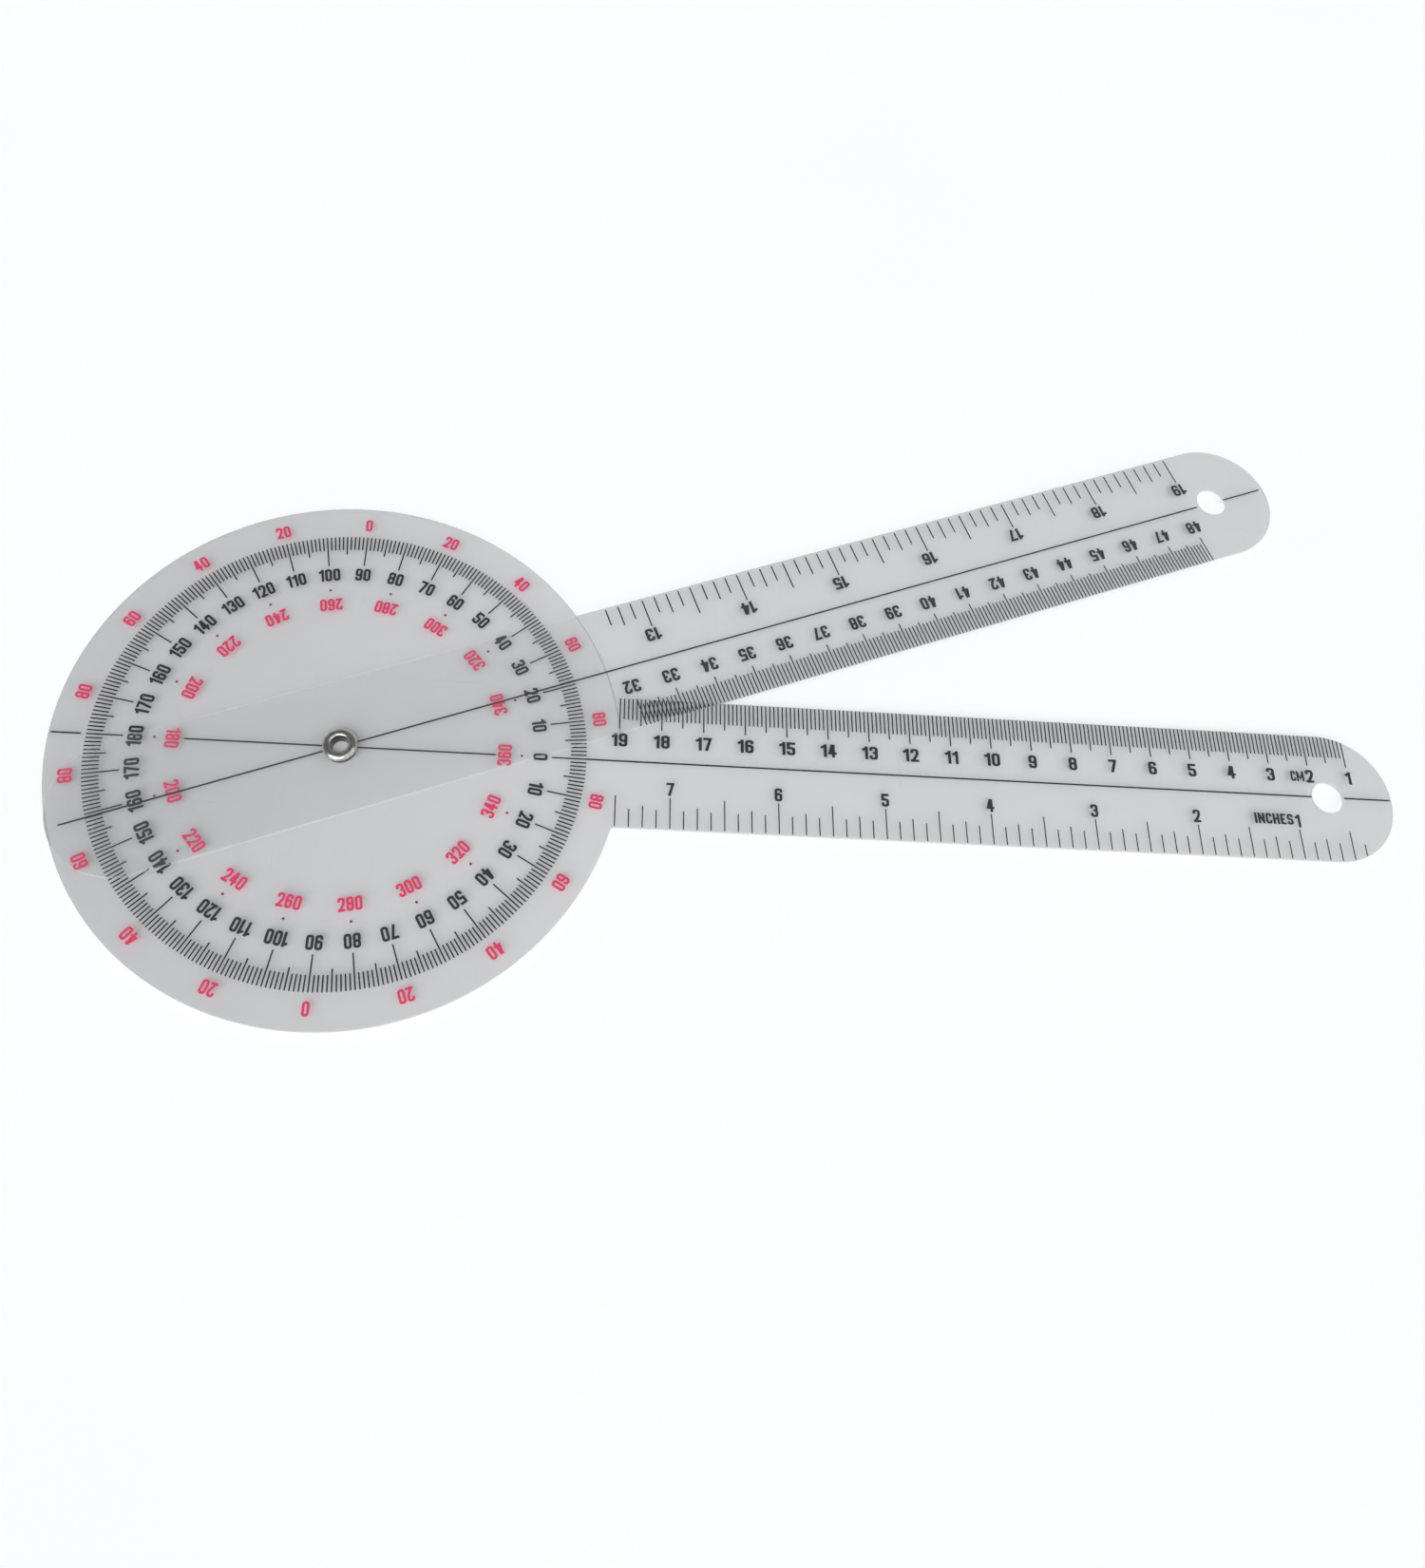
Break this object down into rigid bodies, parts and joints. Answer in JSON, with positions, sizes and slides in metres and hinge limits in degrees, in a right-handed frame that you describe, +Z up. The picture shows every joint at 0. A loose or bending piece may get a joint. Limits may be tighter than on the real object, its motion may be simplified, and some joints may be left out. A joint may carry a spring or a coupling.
{
  "type": "protractor",
  "caption": "Clear plastic two-arm protractor: a full-circle disc with a fixed ruler arm, and a long second arm that turns on a central eyelet.",
  "frame": {"origin": "on the pivot axis, at the underside of the disc", "axes": "+X along the fixed arm from the pivot to its tip, +Y to the left of that arm, +Z up out of the printed side along the pivot axis"},
  "size_m": [0.3188, 0.1657, 0.0036],
  "materials": {
    "clear_plastic": "clear colourless plastic sheet with a light grey cast and a soft gloss",
    "clear_plastic_arm": "clear colourless plastic sheet with a light grey cast and a soft gloss",
    "nickel": "dull bright nickel plate, slightly yellow, with fine wear",
    "washer_steel": "plain nickel-plated steel, satin",
    "black_ink": "printed black ink, satin",
    "red_ink": "printed pinkish red ink, satin"
  },
  "bodies": {
    "base": {"protractor_plate": "clear_plastic", "pivot_eyelet": "nickel", "backing_washer": "washer_steel"},
    "arm": {"moving_arm": "clear_plastic_arm"}
  },
  "joints": [
    {"name": "arm_swing", "type": "hinge", "parent": "base", "child": "arm", "pos_m": [0, 0, 0.0013], "axis": [0, 0, 1], "continuous": true}
  ]
}
